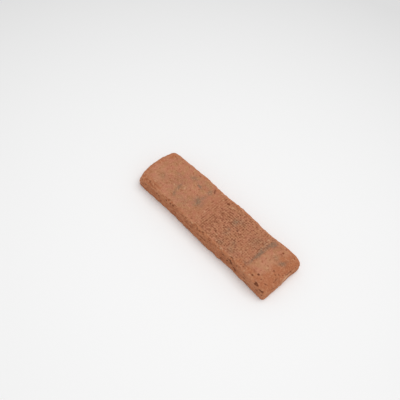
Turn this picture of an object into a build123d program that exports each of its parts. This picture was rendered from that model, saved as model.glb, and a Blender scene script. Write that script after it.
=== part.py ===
from build123d import *

import os
from math import sqrt

# A tumbled clay brick slip, lying on its sawn back. +X is its near end, +Y its high bed edge,
# and +Z leaves the weathered face. The origin is the middle of the back.
slip_length = 216.0
slip_height = 63.5
slip_thickness = 20.0

# Corner radii in plan at the back, and what three of them gain for each millimetre of wear above
near_low_corner = 4.0
near_high_corner = 3.0
far_high_corner = 9.0
far_low_corner = 5.0
near_low_growth = 0.8
high_growth = 0.3

# The far low corner is worn into a bevel: what its radius gains by the face, and over what drop
far_low_wear_run = 14.0
far_low_wear_drop = 14.0

# The worn shoulder of each side: how far it runs in over the face, and how far down the side
near_shoulder_run = 19.0
near_shoulder_drop = 13.0
far_shoulder_run = 6.0
far_shoulder_drop = 5.0
low_shoulder_run = 4.0
low_shoulder_drop = 4.0
high_shoulder_run = 4.5
high_shoulder_drop = 5.0

# How far each side wanders in from a true rectangle
low_waist = 1.2
low_hollow = 1.3
high_hollow = 1.8
high_crest = 0.3
high_dip = 1.8
high_shelf = 0.8
high_fall = 2.9
near_low_lean = 1.0
near_high_lean = 0.2
far_low_lean = 2.6
far_high_lean = 1.6

# Where they wander, measured from the near end
low_waist_place = 150.0
low_bulge_place = 90.0
low_hollow_place = 60.0
high_hollow_place = 48.5
high_crest_place = 92.0
high_dip_place = 127.0
high_shelf_place = 152.0

# The pressed panel of the face. It runs from the far end to a pad left proud near the near end,
# and a shallow groove marks where they meet
pad_edge_place = 36.0
panel_depth = 0.35
groove_width = 5.0
groove_depth = 0.6

# Chips out of the two long arrises: place along, length, depth. A place counts from the near
# end, or from the far end where it is negative
low_chips = [(55, 14, 2.0), (74, 7, 1.2), (117, 10, 1.2), (-57, 16, 1.8), (-19, 26, 2.8)]
high_chips = [(47, 18, 1.6), (81, 10, 0.8), (134, 14, 1.6), (-22, 12, 1.6)]

# Hollows broken out of the low side: place along, height above the back, length, depth
side_hollows = [(57, 12, 12, 2.8), (47, 6, 6, 2.4), (119, 13, 8, 1.2), (-68, 8, 16, 1.8)]

# The break at the foot of the near end: place across, height, length, depth
end_break = (10, 4, 24, 1.2)

# Open pits: place along, gap from the low side (or from the high side where negative), radius
pits = [
    (17.0, 0.6, 2.2),
    (14.5, 0.8, 1.9),
    (5.0, 0.9, 1.5),
    (22.0, 11.0, 1.2),
    (26.5, 5.5, 1.1),
    (13.5, 28.0, 1.0),
    (21.5, -11.0, 1.2),
    (100.5, 2.5, 1.1),
    (93.0, 16.0, 1.1),
    (88.0, -10.0, 0.9),
    (110.0, -10.0, 1.8),
]
pit_sink = 0.2

# The sawn back's arris
saw_arris = 0.5

near_face = slip_length / 2
far_face = -slip_length / 2


def along(place):
    """X of a place counted from the near end, or from the far end where negative."""
    return near_face - place if place >= 0 else far_face - place


def inset(height, run, drop):
    """How far a worn shoulder stands in from its side at a height above the back."""
    risen = max(0.0, height - (slip_thickness - drop)) / drop
    return run * (1 - sqrt(max(0.0, 1 - risen**2)))


def shoulder_height(gap, run, drop):
    """How high a worn shoulder stands above the back, at a gap in from its side."""
    rise = max(0.0, 1 - gap / run)
    return slip_thickness - drop * (1 - sqrt(max(0.0, 1 - rise**2)))


def level_outline(height):
    """The slip's outline in plan at a height above the back."""
    back_in = max(0.0, saw_arris - height)
    near_in = back_in + inset(height, near_shoulder_run, near_shoulder_drop)
    far_in = back_in + inset(height, far_shoulder_run, far_shoulder_drop)
    low_in = back_in + inset(height, low_shoulder_run, low_shoulder_drop)
    high_in = back_in + inset(height, high_shoulder_run, high_shoulder_drop)
    near = near_face - near_in
    far = far_face + far_in
    low = -slip_height / 2 + low_in
    high = slip_height / 2 - high_in
    near_low = near - near_low_lean
    near_high = near - near_high_lean
    far_low = far + far_low_lean
    far_high = far + far_high_lean
    near_low_r = near_low_corner + near_low_growth * (near_in + low_in)
    near_high_r = near_high_corner + high_growth * (near_in + high_in)
    far_high_r = far_high_corner + high_growth * (far_in + high_in)
    far_low_r = far_low_corner + inset(height, far_low_wear_run, far_low_wear_drop)
    near_low_y = low + near_low_r
    near_high_y = high - near_high_r
    far_low_y = low + far_low_r
    far_high_y = high - high_fall - far_high_r
    with BuildSketch(Plane.XY.offset(height)) as outline:
        with BuildLine():
            low_side = Spline(
                (far_low + far_low_r, low),
                (near_face - low_waist_place, low + low_waist),
                (near_face - low_bulge_place, low),
                (near_face - low_hollow_place, low + low_hollow),
                (near_low - near_low_r, low),
                tangents=((1, 0), (1, 0)),
            )
            near_end = Spline(
                (near_low, near_low_y),
                (near, (near_low_y + near_high_y) / 2),
                (near_high, near_high_y),
                tangents=((0, 1), (0, 1)),
            )
            high_side = Spline(
                (near_high - near_high_r, high),
                (near_face - high_hollow_place, high - high_hollow),
                (near_face - high_crest_place, high - high_crest),
                (near_face - high_dip_place, high - high_dip),
                (near_face - high_shelf_place, high - high_shelf),
                (far_high + far_high_r, high - high_fall),
                tangents=((-1, 0), (-1, 0)),
            )
            far_end = ThreePointArc(
                (far_high, far_high_y),
                (far, (far_low_y + far_high_y) / 2),
                (far_low, far_low_y),
            )
            TangentArc(low_side @ 1, near_end @ 0, tangent=(1, 0))
            TangentArc(near_end @ 1, high_side @ 0, tangent=(0, 1))
            Spline(high_side @ 1, far_end @ 0, tangents=((-1, 0), far_end % 0))
            Spline(far_end @ 1, low_side @ 0, tangents=(far_end % 1, (1, 0)))
        make_face()
    return outline.sketch


def scoop(spot, outward, length, depth):
    """Takes a shell shaped hollow out of the surface at a spot that faces outward."""
    ball = (length**2 / 4 + depth**2) / (2 * depth)
    with Locations(Vector(spot) + Vector(outward).normalized() * (ball - depth)):
        Sphere(ball, mode=Mode.SUBTRACT)


def chip_arris(chips, side, run, drop):
    """Chips one long arris, each chip square to the middle of its shoulder."""
    y = side * (slip_height / 2 - run * (1 - sqrt(0.5)))
    z = slip_thickness - drop * (1 - sqrt(0.5))
    for place, length, depth in chips:
        scoop((along(place), y, z), (0, side, 1), length, depth)


with BuildPart() as brick_slip:
    # Sawn arris round the back
    add(level_outline(0))
    add(level_outline(saw_arris))
    loft(ruled=True)

    # Straight sides up to the foot of the shoulders, then the worn shoulders
    shoulder_foot = slip_thickness - max(near_shoulder_drop, far_low_wear_drop)
    add(level_outline(saw_arris))
    extrude(amount=shoulder_foot - saw_arris)
    for share in (0, 0.35, 0.6, 0.78, 0.9, 0.97, 1):
        add(level_outline(shoulder_foot + share * (slip_thickness - shoulder_foot)))
    loft()

    # Pressed panel and the groove along it, cut right across the face in one profile
    pad_edge = along(pad_edge_place)
    groove_middle = pad_edge - groove_width / 2
    with BuildSketch(Plane.XZ):
        with BuildLine():
            Polyline(
                (pad_edge + groove_width / 2, slip_thickness + groove_depth),
                (groove_middle, slip_thickness - groove_depth),
                (pad_edge - groove_width, slip_thickness - panel_depth),
                (far_face - groove_width, slip_thickness - panel_depth),
                (far_face - groove_width, slip_thickness + groove_depth),
                close=True,
            )
        make_face()
    extrude(amount=slip_height, both=True, mode=Mode.SUBTRACT)

    # Chips along the arrises
    chip_arris(low_chips, -1, low_shoulder_run, low_shoulder_drop)
    chip_arris(high_chips, 1, high_shoulder_run, high_shoulder_drop)

    # Hollows broken out of the low side
    for place, height, length, depth in side_hollows:
        scoop((along(place), -slip_height / 2, height), (0, -1, 0), length, depth)

    # Break at the foot of the near end
    across, height, length, depth = end_break
    scoop((near_face, across, height), (1, 0, 0), length, depth)

    # Open pits, each sunk at the height of the face or shoulder that it lies in
    for place, gap, radius in pits:
        if gap > 0:
            y = gap - slip_height / 2
            side_height = shoulder_height(gap, low_shoulder_run, low_shoulder_drop)
        else:
            y = gap + slip_height / 2
            side_height = shoulder_height(-gap, high_shoulder_run, high_shoulder_drop)
        end_height = shoulder_height(place, near_shoulder_run, near_shoulder_drop)
        with Locations((along(place), y, min(side_height, end_height) + pit_sink * radius)):
            Sphere(radius, mode=Mode.SUBTRACT)

brick_slip.part.label = "brick_slip"
os.makedirs("parts", exist_ok=True)
export_step(brick_slip.part, "parts/brick_slip.step")
print("volume", brick_slip.part.volume, "size", brick_slip.part.bounding_box().size)
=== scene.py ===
import math
import random

import bmesh
import bpy
import numpy as np
from mathutils import Matrix, Vector


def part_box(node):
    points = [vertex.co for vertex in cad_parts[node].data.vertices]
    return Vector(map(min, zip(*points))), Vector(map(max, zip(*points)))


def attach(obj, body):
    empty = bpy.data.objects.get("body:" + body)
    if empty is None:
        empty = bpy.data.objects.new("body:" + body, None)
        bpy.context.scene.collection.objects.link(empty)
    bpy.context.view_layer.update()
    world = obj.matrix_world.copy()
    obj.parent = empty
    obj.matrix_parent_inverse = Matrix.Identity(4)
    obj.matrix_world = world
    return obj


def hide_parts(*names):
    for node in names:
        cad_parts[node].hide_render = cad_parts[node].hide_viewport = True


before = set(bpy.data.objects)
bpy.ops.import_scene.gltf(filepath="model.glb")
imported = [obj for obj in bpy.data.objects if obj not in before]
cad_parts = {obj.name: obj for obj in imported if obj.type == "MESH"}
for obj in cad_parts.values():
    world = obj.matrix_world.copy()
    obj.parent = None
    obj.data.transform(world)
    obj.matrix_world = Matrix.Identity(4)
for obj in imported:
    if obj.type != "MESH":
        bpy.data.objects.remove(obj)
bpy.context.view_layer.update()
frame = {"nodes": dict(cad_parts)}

mm = 0.001
print("frame loaded:", ", ".join(frame["nodes"]))


def toLinear(hexColour):
    # sRGB hex to the linear numbers that sockets take
    channels = [int(hexColour[i:i + 2], 16) / 255 for i in (1, 3, 5)]
    return [c / 12.92 if c <= 0.04045 else ((c + 0.055) / 1.055) ** 2.4 for c in channels] + [1.0]


def smooth(value, start, end):
    # 0 before start, 1 after end, eased between them
    t = np.clip((value - start) / (end - start), 0, 1)
    return t * t * (3 - 2 * t)


def chance(i, j, k, seed):
    # a fixed random number from -1 to 1 for each whole-numbered cell: the large factors scatter neighbours
    mixed = i * 374761393 + j * 668265263 + k * 362437 + seed * 69069
    mixed = ((mixed ^ (mixed >> 13)) * 1274126177) & 0xFFFFFFFF
    return ((mixed ^ (mixed >> 16)) & 0xFFFF) / 32767.5 - 1


def cloud(points, cell, seed):
    # soft random field from -1 to 1, its lumps about one cell (mm) across
    scaled = points / np.asarray(cell, float)
    base = np.floor(scaled).astype(np.int64)
    part = scaled - base
    part = part * part * (3 - 2 * part)
    total = np.zeros(len(points))
    for corner in ((i, j, k) for i in (0, 1) for j in (0, 1) for k in (0, 1)):
        total += np.prod(np.where(corner, part, 1 - part), axis=1) * chance(*(base + corner).T, seed)
    return total


def layered(points, cell, octaves, seed):
    # clouds of halving size laid over each other
    total = np.zeros(len(points))
    for octave in range(octaves):
        total += cloud(points, np.asarray(cell, float) / 2 ** octave, seed + octave) / 2 ** octave
    return total


def addNode(tree, kind, settings=None, links=None):
    # adds a node, sets its properties and sockets, and links what feeds it
    node = tree.nodes.new(kind)
    for key, value in (settings or {}).items():
        if isinstance(key, int) or key in node.inputs:
            node.inputs[key].default_value = value
        else:
            setattr(node, key, value)
    for key, source in (links or {}).items():
        tree.links.new(source, node.inputs[key])
    return node


# The slip lies along x, its near end towards +x and its face up. Sizes and places are in mm,
# places counted from the middle of its back, and turns are in degrees.
slip = {
    "seed": 12,                 # each random field adds a number of its own to this
    "voxel": 0.66,              # between the vertices of the worked surface
    "halfHeight": 31.5,         # from the middle line to the long sides

    # pressed texture: a pair is where along x something comes in or ends
    "bandStart": (-36, -8),
    "bandEnd": (67.5, 70.5),    # the groove
    "bandMargin": (1.5, 6.0),   # in from the long sides, where it comes in
    "furrowStart": (-26, -8),   # furrows across the slip, where the pressing fades out
    "furrowEnd": (-2, 16),
    "furrowBreak": (3.0, 5.0, 3.0),     # size of what breaks them up
    "dashStart": (-22, 4),      # short dashes along the slip
    "dashFade": (36, 50),
    "dashSize": (4.2, 2.0, 3.0),
    "rowStart": (-16, 16),      # rows of dents
    "rowShallow": (34, 48),     # where they get shallower
    "rowDeepen": (50, 60),      # and a little deeper again
    "dentRound": (30, 44),      # where dents drawn out along the slip turn round
    "speckleSize": 2.2,
    "pressDepth": 0.70,
    "pressDrift": 0.70,         # how far its rows wander
    "pressDriftSize": 8.0,
    "rowShare": 0.84,           # what each part of the texture adds to its depth
    "furrowShare": 0.40,
    "dashShare": 0.24,
    "speckleShare": 0.30,
    "pressPitch": 2.75,         # between dents
    "pressJitter": 0.20,        # how far a dent strays, as a share of the pitch
    "dentReach": 0.29,          # a dent's radius, as a share of the pitch

    # relief of the skin: how deep each kind is, and how far its lumps are across
    "grainDepth": 0.20,
    "grainSize": 2.4,
    "lumpDepth": 0.175,
    "lumpSize": 14.0,
    "bedDepth": 0.90,           # the sides' rough beds, which lie along the slip
    "bedSize": (6.5, 6.5, 2.8),
    "chipDepth": 1.50,
    "chipSize": 5.5,
    "chipLow": (22, 26),        # from the middle line towards the low side, where chips get more
    "chipNear": (-20, 5),       # along x, where the low arris has the most
    "chipEnd": (60, 80),        # and where that stops, short of the near corner
    "gritDepth": 0.60,
    "gritSize": 2.0,
    "sideSwell": 0.40,          # makes up for what the relief takes off the sides
    "sawDepth": 0.04,           # ripple of the sawn back
    "sawPitch": 3.2,
    "sawBow": 0.004,            # mm along x for each square mm from the middle line
    "sawWander": 0.6,
    "sawWanderSize": 20.0,
    "sawGrit": 0.02,
    "sawGritSize": 1.6,

    # random pinholes and burnt-out specks
    "facePores": 26,
    "facePoreRun": 95,          # how far from the near end the face has them
    "sidePores": 150,
    "poreSeat": 0.8,            # how deep under a side a pore has its middle
    "poreRadius": (0.45, 0.90),
    "poreDepth": 0.8,           # as a share of its radius

    # how the colours read the relief and are broken up; the relief also gives painted shade in hollows and
    # a painted highlight on crests
    "fineRounds": 8,            # of smoothing, which tells small hollows and crests
    "broadRounds": 60,          # and wide ones
    "breakUpSize": 3.0,
    "driftSize": 5.0,           # stains and dust have wandering outlines
    "wearSize": 6.0,
    "bandTintSize": 7.0,
    "shoulderDull": (26, 30),   # from the middle line, where the painted highlight on crests is dimmer
    "dullStart": (-30, 0),      # and from where along x

    # dents too small for the solid: x, y, half length, half width, turn, depth
    "dents": [
        (91.5, -30.4, 2.8, 1.6, 0, 0.9), (93.6, -30.5, 2.2, 1.4, 0, 1.0), (88, -24.5, 1.2, 1.0, 0, 0.4),
        (78.5, -26, 1.4, 1.1, 0, 0.4), (17.9, 21.1, 1.5, 1.0, 0, 1.0), (15.3, 21.7, 1.1, 0.9, 0, 0.6),
        (23.7, 21.8, 0.9, 0.8, 0, 0.6), (27.6, 21.6, 0.9, 0.8, 0, 0.6), (23.5, 16.3, 1.1, 0.9, 0, 0.6),
        (27.3, 16.5, 1.0, 0.9, 0, 0.5), (30.8, 2.8, 1.2, 0.9, 20, 0.6), (-25.7, 21.6, 5.5, 1.2, -57, 0.6),
        (-53.2, 24, 1.6, 1.0, 60, 0.5), (-96, 21.5, 1.3, 1.0, 0, 0.5), (98.8, -5.6, 1.6, 1.2, 0, 0.5),
        (99.6, -22, 3.6, 0.8, 30, 0.6), (55.2, -8.2, 1.2, 1.0, 0, 0.6), (14.2, -16.8, 1.7, 1.0, 0, 0.8),
        (-16, -26, 1.8, 0.9, -50, 0.5), (44.5, -15.8, 1.2, 0.9, 0, 0.5), (36.9, -16.4, 1.0, 0.9, 0, 0.6),
        (43, 17.7, 1.0, 0.9, 0, 0.6), (43, 11.8, 0.9, 0.9, 0, 0.4), (36.2, 22.6, 1.0, 0.9, 0, 0.4),
        (10.7, 16.4, 0.9, 0.9, 0, 0.4), (37.5, -9, 0.9, 1.6, 0, 0.6), (34.8, -10, 0.9, 1.2, 0, 0.6),
        (-25, -15.5, 1.6, 1.0, 0, 0.3), (-4, 10.8, 1.6, 1.1, 0, 0.4), (-3.5, 21.4, 3.0, 1.3, -12, 0.4),
        (12, 4.5, 1.6, 1.0, 0, 0.4), (94.5, -3.7, 1.6, 1.1, 0, 0.45), (101, -2.0, 1.3, 1.0, 0, 0.4),
        (103.2, -9, 1.2, 2.4, 30, 0.8), (100.2, 19.4, 1.3, 1.1, 0, 0.5), (99.4, 26.9, 1.3, 1.0, 0, 0.6),
        (102.5, 14.5, 1.2, 1.0, 0, 0.4), (86.4, -20.6, 1.2, 1.0, 0, 0.25), (82.5, -26, 1.6, 1.1, 0, 0.4),
        (92, -22.5, 1.0, 0.9, 0, 0.4), (85.9, 26.9, 1.1, 1.0, 0, 0.6), (89, -17.5, 0.9, 0.9, 0, 0.4),
        (64.5, 2.8, 1.1, 1.0, 0, 0.6), (48.5, 3.5, 0.9, 0.9, 0, 0.4), (6, -29.6, 1.5, 1.2, 0, 1.1),
        (-42, -29, 3.0, 1.2, 0, 0.7), (-80, -26.5, 7.0, 1.3, 0, 0.5), (55, -23.2, 1.2, 1.0, 0, 0.5),
        (-17, 8, 1.6, 1.2, 0, 0.3),
    ],
    # clay smeared back, which closes what it covers: x, y, half length, half width, turn, height
    "smears": [
        (34, -29.8, 3.5, 2.5, 0, 0.9), (-89.7, -26.8, 2.4, 2.0, 0, 0.3), (-53.7, -27.9, 2.4, 1.8, 0, 0.4),
        (49.3, -27.4, 1.8, 1.6, 0, 0.3), (-10, -29.5, 1.8, 1.5, 0, 0.3), (86.4, 20.7, 1.4, 1.3, 0, 0.12),
    ],
    # notches along the low side: x, z, half length, half width, turn, depth
    "sideNotches": [
        (92, 17.6, 2.8, 1.7, -10, 1.1), (99.8, 13.9, 3.2, 0.9, -10, 1.3), (52.5, 12.5, 4.5, 2.4, -25, 1.0),
        (60, 8, 4.0, 1.6, -25, 1.0), (20, 15.2, 9.0, 0.9, 0, 0.45), (40, 15.0, 9.0, 1.0, 3, 0.6),
        (-30, 15.5, 10.0, 0.9, 0, 0.4), (36, 3.5, 0.9, 2.2, 0, 0.7), (-44.2, 17, 1.8, 1.6, 0, 0.9),
        (-55.6, 16, 1.6, 1.5, 0, 1.0), (17, 14, 1.2, 3.0, -12, 0.5), (74, 16, 1.4, 2.2, 0, 0.5),
        (-68, 12, 1.4, 3.0, 0, 0.6), (62, 17, 1.2, 1.8, 0, 0.7), (8, 18, 1.5, 1.3, 0, 0.6),
        (33, 17.5, 1.0, 1.4, 0, 0.2),
    ],
    # notches across the near end: y, z, half length, half width, turn, depth
    "endNotches": [(11, 12.3, 9.0, 0.8, 0, 0.6), (-16, 9, 3.0, 1.0, 0, 0.4)],
    # pits in the shoulders and corners: x, y, z, radius
    "pits": [
        (102.3, -30.3, 13.3, 1.5), (102.9, -32.0, 8.8, 1.2), (103.0, -12.0, 14.8, 0.9),
        (104.1, 2.1, 14.8, 0.9), (106.8, 14.2, 11.5, 1.0), (106.9, 22.2, 11.4, 0.9),
        (47.3, -29.8, 9.4, 1.2), (40.8, -30.3, 14.0, 0.9), (-4.3, -30.4, 17.6, 0.8),
        (-13.7, -30.8, 17.8, 1.0), (-48.9, -30.4, 16.4, 1.2), (-91.6, -31.0, 10.8, 0.9),
        (-98.3, -31.6, 15.1, 1.1),
    ],
    # where wear has opened the grain: x, y, half length, half width, turn, strength
    "gritty": [
        (88, -28, 20.0, 8.0, 0, 1.0), (102, 0, 7.0, 34.0, 0, 0.45), (-90, -28, 16.0, 6.0, 0, 0.9),
        (40, -30, 60, 5, 0, 0.6),
    ],
    # grey kiln stains on the face: x, y, half length, half width, turn, strength
    "stains": [
        (-58.8, -8, 2.4, 9.0, 6, 0.85), (-56, -18, 4.0, 2.6, -40, 0.7), (-43, 12.8, 4.6, 2.8, -25, 1.0),
        (-55, 16, 6.5, 4.0, 0, 0.65), (-28.3, -4.5, 6.5, 6.5, 0, 1.1), (-27, 4, 3.0, 5.0, 0, 0.7),
        (-28, 17, 3.5, 6.0, 0, 0.75), (-72, 6, 4.5, 3.0, 0, 0.55), (-83, -10, 6.0, 5.0, 0, 0.35),
        (22, 10.3, 4.0, 5.5, 0, 1.15), (23, -3.5, 3.0, 2.5, 0, 0.8), (28, 15, 5.5, 4.0, 0, 0.6),
        (31, 3, 2.2, 1.6, 0, 0.7), (28, -23, 4.5, 3.0, 0, 0.7), (24.5, -10, 4.0, 4.5, 0, 0.55),
        (45, -21, 6.5, 4.0, 0, 0.6), (40, -13, 5.0, 3.5, 0, 0.55), (56, 8, 7.0, 9.0, 0, 0.4),
        (68.9, 2, 2.5, 20.0, 0, 1.35), (66.5, 4, 1.5, 14.0, 0, 0.6), (71, 19, 4.0, 6.0, -20, 1.35),
        (66, -21.5, 4.0, 2.6, 0, 0.65), (66, 15, 4.0, 4.0, 0, 0.7), (95, 10.5, 2.8, 5.0, -15, 1.3),
        (86, 9, 3.5, 2.4, 0, 0.6), (97, 17, 2.0, 2.5, 0, 0.35), (104, -7, 1.8, 3.5, 0, 0.4),
        (-42, -16, 13, 8, 0, 0.3), (-62, -4, 12, 16, 0, 0.25), (-38, 20, 10, 6, 0, 0.25),
    ],
    # brighter clay where the skin is worn away: x, y, half length, half width, turn, strength
    "worn": [
        (100, 0, 11.0, 40.0, 0, 1.0), (82, -25, 22.0, 5.5, 0, 0.9), (101, 22, 9.0, 10.0, 0, 0.8),
        (-86, -28, 16.0, 5.0, 0, 1.0), (-101, 21, 5.0, 7.0, 25, 0.9), (-92, 27, 16.0, 2.6, 0, 0.6),
        (-103, 0, 4.0, 22.0, 0, 0.45), (-101, -22, 5.0, 8.0, -20, 0.7), (0, -29.5, 120.0, 2.6, 0, 0.7),
        (0, 29, 120.0, 3.4, 0, 0.85), (-5, 24, 9.0, 4.0, 0, 0.5), (60, -25, 10.0, 4.0, 0, 0.7),
        (-24, 25, 5.0, 4.0, 0, 0.6),
    ],
    # pale dusty patches and light grit, and one strip of painted bounced light: x, y, half length, half
    # width, turn, strength
    "pale": [
        (82, -2, 9.0, 14.0, 0, 0.8), (83, 12, 3.0, 3.0, 0, 0.7), (-86, -18, 6.0, 6.0, 0, 0.7),
        (-91, -4, 5.0, 4.0, 0, 0.6), (-52, -2.5, 2.6, 2.2, 0, 0.9), (-64, -8.5, 1.4, 1.2, 0, 1.0),
        (36, -28.6, 1.5, 1.2, 0, 1.2), (65.4, 21.3, 1.2, 1.1, 0, 1.8), (51, -27.3, 1.6, 1.0, 0, 1.0),
        (75, -28.6, 1.2, 0.9, 0, 0.9), (81.3, -28.2, 1.5, 1.2, 0, 1.0), (7, 21.2, 1.4, 1.2, 0, 0.9),
        (-30, 12, 2.6, 1.0, -45, 0.8), (-12, -8, 4.0, 3.0, 0, 0.6), (25, -24.5, 3.0, 1.6, 0, 0.6),
        (56, -12.5, 3.4, 1.2, -50, 0.7), (38, -15, 2.4, 1.4, 0, 0.5), (-12, -19, 4.0, 3.0, 0, 0.5),
        # the last mark is painted light: the near half of the low side made paler where bounced light falls
        # on it
        (66.2, 9, 0.8, 9.0, 0, 0.7), (80, -33, 30.0, 3.0, 0, 0.4),
    ],
    # light grains of sand stuck in the skin: x, y, half length, half width, turn, strength
    "grains": [
        (34.4, -28.7, 1.0, 0.9, 0, 1.3), (49, -27.9, 0.8, 0.8, 0, 0.8), (72, -29.5, 0.9, 0.8, 0, 0.8),
        (79, -28.3, 1.0, 0.8, 0, 0.8), (23.9, -25.2, 1.0, 0.8, 0, 1.0), (18.6, -19.3, 0.9, 0.8, 0, 0.9),
        (53.6, -14.6, 0.9, 0.8, 0, 0.9), (63.5, 21, 1.1, 1.0, 0, 1.5), (66, 11, 0.9, 0.7, 0, 0.7),
        (5.2, 21.2, 1.2, 1.0, 0, 1.3), (47, 24.5, 0.8, 0.8, 0, 0.7), (-10, 20.5, 0.8, 0.8, 0, 0.7),
        (-17, 25.7, 0.9, 0.8, 0, 0.7), (-11.8, -29.8, 0.9, 0.9, 0, 0.9), (15.1, -6.5, 0.9, 0.8, 0, 0.6),
        (33.8, 19.7, 0.9, 0.8, 0, 0.6), (18.6, 15.1, 0.9, 0.8, 0, 0.6), (87.2, -7.4, 1.0, 0.9, 0, 0.6),
        (80.4, 12, 1.0, 0.9, 0, 0.6), (-13.3, -7.8, 0.9, 0.8, 0, 0.6), (26.3, -5.8, 0.9, 0.8, 0, 0.6),
        (-83.9, -23.7, 1.1, 1.0, 0, 0.7), (-65.2, -8.7, 1.0, 0.9, 0, 0.7), (-52.9, -3.2, 1.1, 1.0, 0, 0.7),
        (64.6, -17.7, 0.9, 0.8, 0, 0.6), (-50.9, -28.5, 1.0, 0.9, 0, 0.6), (-31.1, 11.3, 0.9, 0.8, 0, 0.5),
    ],
    # freshly broken clay at the foot of the near end: y, z, half length, half width, turn, strength
    "fresh": [(4, 8.2, 6.8, 2.8, 8, 2.4), (-8, 3.0, 7.0, 1.4, 0, 0.6)],
}


def weldedCopy(node):
    # the node's shell with the seams between its CAD faces closed
    work = bmesh.new()
    work.from_mesh(node.data)
    work.transform(node.matrix_world)
    bmesh.ops.remove_doubles(work, verts=work.verts, dist=1e-6)
    mesh = bpy.data.meshes.new("slipShell")
    work.to_mesh(mesh)
    work.free()
    return mesh


def evenMesh(mesh, voxel):
    # the same shell with evenly spaced vertices, ready for relief
    shell = bpy.data.objects.new("slipShell", mesh)
    bpy.context.collection.objects.link(shell)
    remesh = shell.modifiers.new("even", "REMESH")
    remesh.mode = "VOXEL"
    remesh.voxel_size = voxel * mm
    even = bpy.data.meshes.new_from_object(shell.evaluated_get(bpy.context.evaluated_depsgraph_get()))
    bpy.data.objects.remove(shell)
    return even


def readVectors(mesh, what):
    # one row of three numbers for each vertex
    flat = np.empty(len(mesh.vertices) * 3)
    mesh.vertices.foreach_get(what, flat)
    return flat.reshape(-1, 3)


def markField(across, up, marks):
    # how strong the listed oval marks are at each point, over the two axes given
    strength = np.zeros(len(across))
    for a, b, halfLength, halfWidth, turn, amount in marks:
        c, s = math.cos(math.radians(turn)), math.sin(math.radians(turn))
        da, db = across - a, up - b
        u, v = (da * c + db * s) / halfLength, (db * c - da * s) / halfWidth
        strength = np.maximum(strength, amount * np.exp(-(u * u + v * v)))
    return strength


def slipZones(points, normals):
    # which part of the slip each point belongs to, as soft masks from 0 to 1. The limits on a normal
    # are cosines: 1 faces straight that way
    x, y = points.T[:2]
    face = smooth(normals[:, 2], 0.55, 0.92)
    back = smooth(-normals[:, 2], 0.6, 0.9)
    band = smooth(x, *slip["bandStart"]) * (1 - smooth(x, *slip["bandEnd"])) * face
    return {
        "face": face,
        "back": back,
        "side": (1 - face) * (1 - back),
        "lowSide": smooth(-normals[:, 1], 0.5, 0.8),
        "nearEnd": smooth(normals[:, 0], 0.5, 0.8),
        "arris": smooth(normals[:, 2], 0.10, 0.35) * (1 - smooth(normals[:, 2], 0.95, 0.998)),
        "band": band * smooth(slip["halfHeight"] - np.abs(y), *slip["bandMargin"]),
    }


def dentRows(x, y, seed):
    # rows of small dents left by the press plate, each a little out of place and of its own depth
    pitch = slip["pressPitch"]
    i, j = np.floor(x / pitch).astype(np.int64), np.floor(y / pitch).astype(np.int64)
    depth = np.zeros(len(x))
    drawn = 1.4 - 0.4 * smooth(x, *slip["dentRound"])
    for di, dj in ((a, b) for a in (-1, 0, 1) for b in (-1, 0, 1)):
        shiftX, shiftY, weight, stretch = (chance(i + di, j + dj, 0, seed + n) for n in range(4))
        dx = x - (i + di + 0.5 + slip["pressJitter"] * shiftX) * pitch
        dy = y - (j + dj + 0.5 + slip["pressJitter"] * shiftY) * pitch
        reach = slip["dentReach"] * pitch
        gap = (dx / (drawn + 0.45 * stretch)) ** 2 + (dy / (1 - 0.3 * stretch)) ** 2
        depth = np.maximum(depth, (0.66 + 0.34 * weight) * np.exp(-gap / reach ** 2))
    return depth


def pressedTexture(points, band):
    # what the press plate left in the face, from 0 to about 1
    x, y = points.T[:2]
    seed = slip["seed"]
    strayX = x + slip["pressDrift"] * layered(points, slip["pressDriftSize"], 2, seed + 1)
    strayY = y + slip["pressDrift"] * layered(points, slip["pressDriftSize"], 2, seed + 2)

    rows = dentRows(strayX, strayY, seed + 30) * smooth(x, *slip["rowStart"])
    rows *= 1 - 0.22 * smooth(x, *slip["rowShallow"]) + 0.15 * smooth(x, *slip["rowDeepen"])
    dashes = smooth(cloud(points, slip["dashSize"], seed + 4), -0.2, 0.8) * smooth(x, *slip["dashStart"])
    dashes *= 1 - 0.5 * smooth(x, *slip["dashFade"])
    waves = np.cos(2 * math.pi * strayX / slip["pressPitch"])
    furrows = smooth(waves + 1.3 * cloud(points, slip["furrowBreak"], seed + 5), -0.4, 1.7)
    furrows *= smooth(x, *slip["furrowStart"])
    furrows *= 1 - smooth(x, *slip["furrowEnd"])
    speckle = smooth(layered(points, slip["speckleSize"], 2, seed + 3), -0.7, 1.1)
    return band * (slip["rowShare"] * rows + slip["dashShare"] * dashes
                   + slip["furrowShare"] * furrows + slip["speckleShare"] * speckle)


def skinRelief(points, zone, press):
    # how deep the texture, the grain and the wear sink the face, the sides and the arrises
    x, y = points.T[:2]
    seed = slip["seed"]
    grain = slip["grainDepth"] * (0.5 + 0.5 * layered(points, slip["grainSize"], 2, seed + 6))
    lumps = slip["lumpDepth"] * (0.5 + 0.5 * layered(points, slip["lumpSize"], 2, seed + 7))
    beds = slip["bedDepth"] * smooth(layered(points, slip["bedSize"], 3, seed + 8), -0.9, 1.2)
    grit = markField(x, y, slip["gritty"]) * (0.5 + 0.5 * layered(points, slip["gritSize"], 2, seed + 13))
    chips = slip["chipDepth"] * smooth(layered(points, slip["chipSize"], 3, seed + 12), 0.0, 0.8)
    # few chips all round, more along the low arris
    atLow = smooth(-y, *slip["chipLow"]) * (0.30 + 0.45 * smooth(x, *slip["chipNear"]))
    chips *= 0.25 + atLow * (1 - smooth(x, *slip["chipEnd"]))

    sunk = slip["pressDepth"] * press + zone["face"] * (lumps + grain * (0.5 + 0.5 * zone["band"]))
    sunk += (zone["side"] * (beds + grain - slip["sideSwell"]) + zone["arris"] * chips
             + (1 - zone["back"]) * slip["gritDepth"] * grit)
    return sunk


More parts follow.
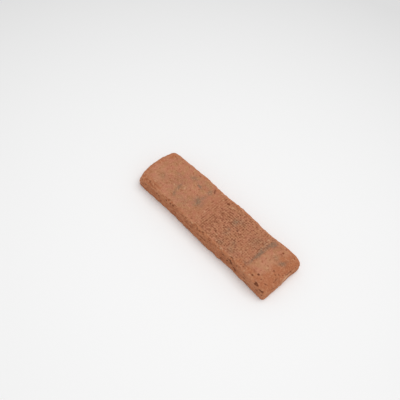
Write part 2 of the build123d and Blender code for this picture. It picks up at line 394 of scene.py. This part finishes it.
def poreField(points, low, high):
    # the listed pits, then pinholes and burnt-out specks scattered over the face and the four sides
    rng = random.Random(slip["seed"])
    holes = [(np.array(pit[:3]), pit[3]) for pit in slip["pits"]]
    seat = slip["poreSeat"]
    smallest, largest = slip["poreRadius"]
    for number in range(slip["facePores"] + slip["sidePores"]):
        centre = np.array([rng.uniform(a, b) for a, b in zip(low, high)])
        wall = rng.random()
        if number < slip["facePores"]:
            centre[2] = high[2]
            centre[0] = high[0] - slip["facePoreRun"] * rng.random()
        elif wall < 0.8:                       # four in five are in the long sides
            centre[1] = low[1] + seat if wall < 0.4 else high[1] - seat
        else:
            centre[0] = low[0] + seat if wall < 0.9 else high[0] - seat
        holes.append((centre, smallest + (largest - smallest) * rng.random() ** 3))      # most are small
    depth = np.zeros(len(points))
    for centre, radius in holes:
        near = np.where(np.abs(points[:, 0] - centre[0]) < 3 * radius)[0]
        gap = np.linalg.norm(points[near] - centre, axis=1)
        depth[near] = np.maximum(depth[near], radius * slip["poreDepth"] * np.exp(-(gap / radius) ** 2))
    return depth


def smallMarks(points, zone, low, high):
    # dents, notches and pores, how high clay was smeared back, and how far that closed them
    x, y, z = points.T
    notched = zone["face"] * markField(x, y, slip["dents"])
    notched += zone["lowSide"] * markField(x, z, slip["sideNotches"])
    notched += (zone["nearEnd"] * markField(y, z, slip["endNotches"])
                + (1 - zone["back"]) * poreField(points, low, high))
    smeared = markField(x, y, slip["smears"])
    healed = np.minimum(2.5 * smeared, 1)
    return notched * (1 - healed), smeared, healed


def sawMarks(points):
    # shallow, slightly bowed ripple that the saw left across the back
    x, y = points.T[:2]
    seed = slip["seed"]
    bowed = x + slip["sawBow"] * y * y + slip["sawWander"] * cloud(points, slip["sawWanderSize"], seed + 9)
    ripple = slip["sawDepth"] * (1 + np.sin(2 * math.pi * bowed / slip["sawPitch"]))
    return ripple + slip["sawGrit"] * (1 + cloud(points, slip["sawGritSize"], seed + 10))


def hollowness(mesh, points, normals, rounds):
    # mm that the surface lies below its surroundings, negative on crests: more rounds look further round
    pairs = np.empty(len(mesh.edges) * 2, int)
    mesh.edges.foreach_get("vertices", pairs)
    first, second = pairs.reshape(-1, 2).T
    count = np.bincount(pairs, minlength=len(points))[:, None]
    soft = points.copy()
    for _ in range(rounds):
        total = np.zeros_like(soft)
        for axis in range(3):
            total[:, axis] += np.bincount(first, soft[second, axis], len(points))
            total[:, axis] += np.bincount(second, soft[first, axis], len(points))
        soft = 0.4 * soft + 0.6 * total / count
    return np.einsum("ij,ij->i", soft - points, normals)


def keepMasks(mesh, points, worked, zone, press, notched, healed):
    # what the material reads: marks stay where they were before the relief, noise lies on the worked skin
    x, y, z = points.T
    seed = slip["seed"]
    normals = readVectors(mesh, "normal")
    fine = hollowness(mesh, worked, normals, slip["fineRounds"])
    broad = hollowness(mesh, worked, normals, slip["broadRounds"])
    breakUp = layered(worked, slip["breakUpSize"], 3, seed + 20)
    ragged = 0.9 + 0.45 * breakUp
    driftX = x + 0.9 * layered(worked, slip["driftSize"], 2, seed + 23)
    driftY = y + 1.6 * layered(worked, slip["driftSize"], 2, seed + 24)
    offBack = 1 - zone["back"]

    # painted shade: hollows, dents, notches, pits and pores darkened where shade would fall, less on the
    # band and none where clay was smeared back
    deep = smooth(fine + 0.4 * broad + 0.02 * breakUp, 0.05, 0.50) * (1 - 0.4 * zone["band"]) * (1 - healed)
    # painted highlight on crests, stronger on arrises and the band, dimmer on the long shoulders from x -30
    # towards the near end
    crestHighlight = smooth(-fine + 0.03 * breakUp, 0.03, 0.20) * (0.7 + 0.5 * zone["arris"] + 0.9 * zone["band"])
    crestHighlight *= 1 - 0.55 * smooth(np.abs(y), *slip["shoulderDull"]) * smooth(x, *slip["dullStart"])
    wornHere = np.maximum(markField(x, y, slip["worn"]), 0.8 * zone["arris"])
    wornHere += 0.25 * layered(worked, slip["wearSize"], 3, seed + 21)
    grains = offBack * markField(x, y, slip["grains"])
    masks = {
        "hollowShade": deep + 0.9 * smooth(notched, 0.1, 0.9),
        "crestHighlight": crestHighlight,
        # painted shade in the dents and furrows of the pressed texture
        "pressShade": smooth(press, 0.15, 0.85),
        "stain": zone["face"] * markField(driftX, driftY, slip["stains"]) * ragged,
        "worn": smooth(wornHere, 0.25, 0.7),
        "pale": offBack * markField(driftX, driftY, slip["pale"]) * ragged,
        "fresh": zone["nearEnd"] * markField(y, z, slip["fresh"]) * ragged + grains,
        "band": zone["band"] * (0.8 + 0.4 * cloud(worked, slip["bandTintSize"], seed + 22)),
        "side": zone["side"],
        "sawn": zone["back"],
    }
    for name, values in masks.items():
        layer = mesh.attributes.new(name, "FLOAT", "POINT")
        layer.data.foreach_set("value", np.clip(values, 0, 1).astype(np.float32))


def workSurface(mesh):
    # sinks the relief into the even mesh, never past the CAD box, and keeps the masks
    points = readVectors(mesh, "co") / mm
    normals = readVectors(mesh, "normal")
    low, high = (np.array(corner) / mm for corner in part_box("brick_slip"))
    zone = slipZones(points, normals)
    press = pressedTexture(points, zone["band"])
    notched, smeared, healed = smallMarks(points, zone, low, high)
    sunk = skinRelief(points, zone, press)
    sunk += notched - smeared
    sunk += zone["back"] * sawMarks(points)
    worked = np.clip(points - normals * sunk[:, None], low, high)
    mesh.vertices.foreach_set("co", (worked * mm).ravel())
    mesh.update()
    keepMasks(mesh, points, worked, zone, press, notched, healed)


slipMesh = evenMesh(weldedCopy(frame["nodes"]["brick_slip"]), slip["voxel"])
workSurface(slipMesh)
slipMesh.name = "brickSlip"
slipMesh.polygons.foreach_set("use_smooth", [True] * len(slipMesh.polygons))
brickSlip = bpy.data.objects.new("brickSlip", slipMesh)
bpy.context.collection.objects.link(brickSlip)
print("clay body worked:", len(slipMesh.polygons), "faces")


def weatheredFiredClay():
    # Facing clay, pressed in a mould, fired orange-red, then tumbled: matt, dry and mottled
    material = bpy.data.materials.new("weatheredFiredClay")
    material.use_nodes = True
    tree = material.node_tree
    tree.nodes.clear()
    place = addNode(tree, "ShaderNodeTexCoord").outputs["Object"]

    # mm across, and detail: blushes and clouds of the firing, flecks of darker and paler clay, and
    # moulding sand, which is drawn coarser than its real half millimetre so that it shows
    noises = [("blush", 7.0, 2.0), ("cloud", 12.0, 4.0), ("fleck", 3.2, 3.0), ("sand", 1.6, 1.0)]
    sources = {}
    for name, size, detail in noises:
        noise = addNode(tree, "ShaderNodeTexNoise", {"Scale": 1 / (size * mm), "Detail": detail},
                        {"Vector": place})
        sources[name] = noise.outputs["Fac"]
    for name in ("hollowShade", "crestHighlight", "pressShade", "stain", "worn", "pale", "fresh", "band", "side", "sawn"):
        sources[name] = addNode(tree, "ShaderNodeAttribute", {"attribute_name": name}).outputs["Fac"]

    # each layer: what drives it, from where to where, how far it covers, its colour
    layers = [
        ("cloud", 0.40, 0.62, 0.60, "#A76E4F"),
        ("blush", 0.50, 0.66, 0.55, "#BC7860"),
        ("blush", 0.50, 0.34, 0.52, "#AE8058"),
        ("band", 0.0, 1.0, 0.65, "#AC6D50"),
        # the four sides: a more orange clay, also painted a little lighter to stand in for light bounced
        # onto them
        ("side", 0.0, 1.0, 0.75, "#BE7953"),
        ("worn", 0.0, 1.0, 0.85, "#AF6B48"),
        # pale dust and light grit, and painted bounced light along the near half of the low side
        ("pale", 0.0, 1.0, 0.65, "#C08B6B"),
        ("fresh", 0.0, 1.0, 0.95, "#D9AC88"),
        ("sawn", 0.0, 1.0, 0.90, "#B87352"),
        ("stain", 0.0, 1.0, 0.85, "#826B57"),
        ("fleck", 0.56, 0.70, 0.62, "#94573A"),
        ("fleck", 0.43, 0.30, 0.58, "#C58C6C"),
        ("sand", 0.58, 0.74, 0.40, "#9A5E40"),
        ("sand", 0.42, 0.28, 0.40, "#CB9670"),
        # painted highlight on crests and arrises
        ("crestHighlight", 0.0, 1.0, 0.43, "#CC9874"),
        # painted shade in the pressed texture
        ("pressShade", 0.0, 1.0, 0.90, "#875237"),
        # painted shade in hollows, dents, notches, pits and pores
        ("hollowShade", 0.0, 1.0, 0.80, "#6B3A24"),
    ]
    clay = addNode(tree, "ShaderNodeRGB")
    clay.outputs[0].default_value = toLinear("#B87D5E")
    colour = clay.outputs[0]
    for name, start, end, cover, hexColour in layers:
        amount = addNode(tree, "ShaderNodeMapRange", {"From Min": start, "From Max": end, "To Max": cover},
                         {"Value": sources[name]})
        layer = addNode(tree, "ShaderNodeMix", {"data_type": "RGBA", "label": name, 7: toLinear(hexColour)},
                        {0: amount.outputs["Result"], 6: colour})
        colour = layer.outputs[2]

    # bump is only for grit too small for the mesh, about 1 mm across and a third of that high
    grit = addNode(tree, "ShaderNodeTexNoise", {"Scale": 1 / (1.1 * mm), "Detail": 2.0}, {"Vector": place})
    bump = addNode(tree, "ShaderNodeBump", {"Strength": 0.7, "Distance": 0.35 * mm},
                   {"Height": grit.outputs["Fac"]})
    # open pores scatter the light, so the clay has next to no sheen
    sheen = {"IOR": 1.5, "Roughness": 0.92, "Specular IOR Level": 0.2}
    shader = addNode(tree, "ShaderNodeBsdfPrincipled", sheen,
                     {"Base Color": colour, "Normal": bump.outputs["Normal"]})
    addNode(tree, "ShaderNodeOutputMaterial", None, {"Surface": shader.outputs["BSDF"]})
    return material


slipMesh.materials.append(weatheredFiredClay())
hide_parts("brick_slip")
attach(brickSlip, "root")
print("materials laid on")

# sizes in metres, angles in degrees, azimuths from +X towards +Y
studio = {
    "floor": "#F7F7F7",        # painted brightest, in the middle of a painted pool of light
    "floorAway": "#DDDDDD",    # at paintedPoolRadius from its middle, where the painted pool of light has faded, and the backdrop
    "floorSize": 8,
    "floorDrop": 0.0001,       # keeps the floor clear of the slip's back
    "paintedPoolMiddle": (0.062, -0.034, 0),
    "paintedPoolRadius": 0.60,
    "sky": "#FFFFFF",
    "skyStrength": 0.62,
    "keyStrength": 1.26,
    "keyAzimuth": 65,
    "keyElevation": 74,
    "keySpread": 55,           # width of the key light, for soft shadows
}
view = {
    "target": (-0.0282, -0.0011, 0.020),
    "distance": 0.6684,
    "azimuth": -51.63,
    "elevation": 54.57,
    "roll": 9.57,
    "focal": 50.4,             # mm, over a sensor 36 mm wide
    "sensor": 36,
}


def paleFloor():
    bpy.ops.mesh.primitive_plane_add(size=studio["floorSize"], location=(0, 0, -studio["floorDrop"]))
    floor = bpy.context.object
    floor.name = "floor"
    material = bpy.data.materials.new("paleFloor")
    material.use_nodes = True
    tree = material.node_tree
    shader = tree.nodes["Principled BSDF"]
    shader.inputs["Roughness"].default_value = 1.0
    shader.inputs["Specular IOR Level"].default_value = 0.0
    # matt paper, with a painted pool of light: brightest round the slip, darker with the square of the
    # distance
    place = addNode(tree, "ShaderNodeTexCoord").outputs["Object"]
    away = addNode(tree, "ShaderNodeVectorMath", {"operation": "DISTANCE", 1: studio["paintedPoolMiddle"]},
                   {0: place})
    square = addNode(tree, "ShaderNodeMath", {"operation": "POWER", 1: 2.0}, {0: away.outputs["Value"]})
    fall = addNode(tree, "ShaderNodeMapRange", {"From Max": studio["paintedPoolRadius"] ** 2},
                   {"Value": square.outputs[0]})
    shades = {6: toLinear(studio["floor"]), 7: toLinear(studio["floorAway"])}
    paintedPool = addNode(tree, "ShaderNodeMix", {"data_type": "RGBA", **shades}, {0: fall.outputs["Result"]})
    tree.links.new(paintedPool.outputs[2], shader.inputs["Base Color"])
    floor.data.materials.append(material)


def softLight():
    world = bpy.data.worlds.new("studioSky")
    bpy.context.scene.world = world
    world.use_nodes = True
    tree = world.node_tree
    tree.nodes.clear()
    path = addNode(tree, "ShaderNodeLightPath")
    sky = addNode(tree, "ShaderNodeBackground",
                  {"Color": toLinear(studio["sky"]), "Strength": studio["skyStrength"]})
    seen = addNode(tree, "ShaderNodeBackground",
                   {"Color": toLinear(studio["floorAway"]), "Strength": 1.0})
    # the camera and reflections see the pale backdrop, and the sky lights the rest
    shown = path.outputs["Is Camera Ray"]
    for ray in ("Is Glossy Ray", "Is Transmission Ray"):
        either = addNode(tree, "ShaderNodeMath", {"operation": "MAXIMUM"}, {0: shown, 1: path.outputs[ray]})
        shown = either.outputs[0]
    both = addNode(tree, "ShaderNodeMixShader", None, {0: shown, 1: sky.outputs[0], 2: seen.outputs[0]})
    addNode(tree, "ShaderNodeOutputWorld", None, {"Surface": both.outputs[0]})
    lamp = bpy.data.lights.new("key", "SUN")
    lamp.energy = studio["keyStrength"]
    lamp.angle = math.radians(studio["keySpread"])
    key = bpy.data.objects.new("key", lamp)
    lean, turn = math.radians(90 - studio["keyElevation"]), math.radians(studio["keyAzimuth"] + 90)
    key.rotation_euler = (lean, 0, turn)
    bpy.context.collection.objects.link(key)


def productCamera():
    lens = bpy.data.cameras.new("camera")
    lens.lens = view["focal"]
    lens.sensor_width = view["sensor"]
    camera = bpy.data.objects.new("camera", lens)
    bpy.context.collection.objects.link(camera)
    azimuth, elevation, roll = (math.radians(view[name]) for name in ("azimuth", "elevation", "roll"))
    flat = math.cos(elevation)
    away = Vector((math.cos(azimuth) * flat, math.sin(azimuth) * flat, math.sin(elevation)))
    turn = Matrix.Rotation(azimuth + math.pi / 2, 3, "Z") @ Matrix.Rotation(math.pi / 2 - elevation, 3, "X")
    turn = turn @ Matrix.Rotation(roll, 3, "Z")
    place = Vector(view["target"]) + away * view["distance"]
    camera.matrix_world = Matrix.Translation(place) @ turn.to_4x4()
    bpy.context.scene.camera = camera


paleFloor()
softLight()
productCamera()
bpy.context.scene.view_settings.view_transform = "Standard"
print("floor, light and camera set")

bpy.context.view_layer.update()
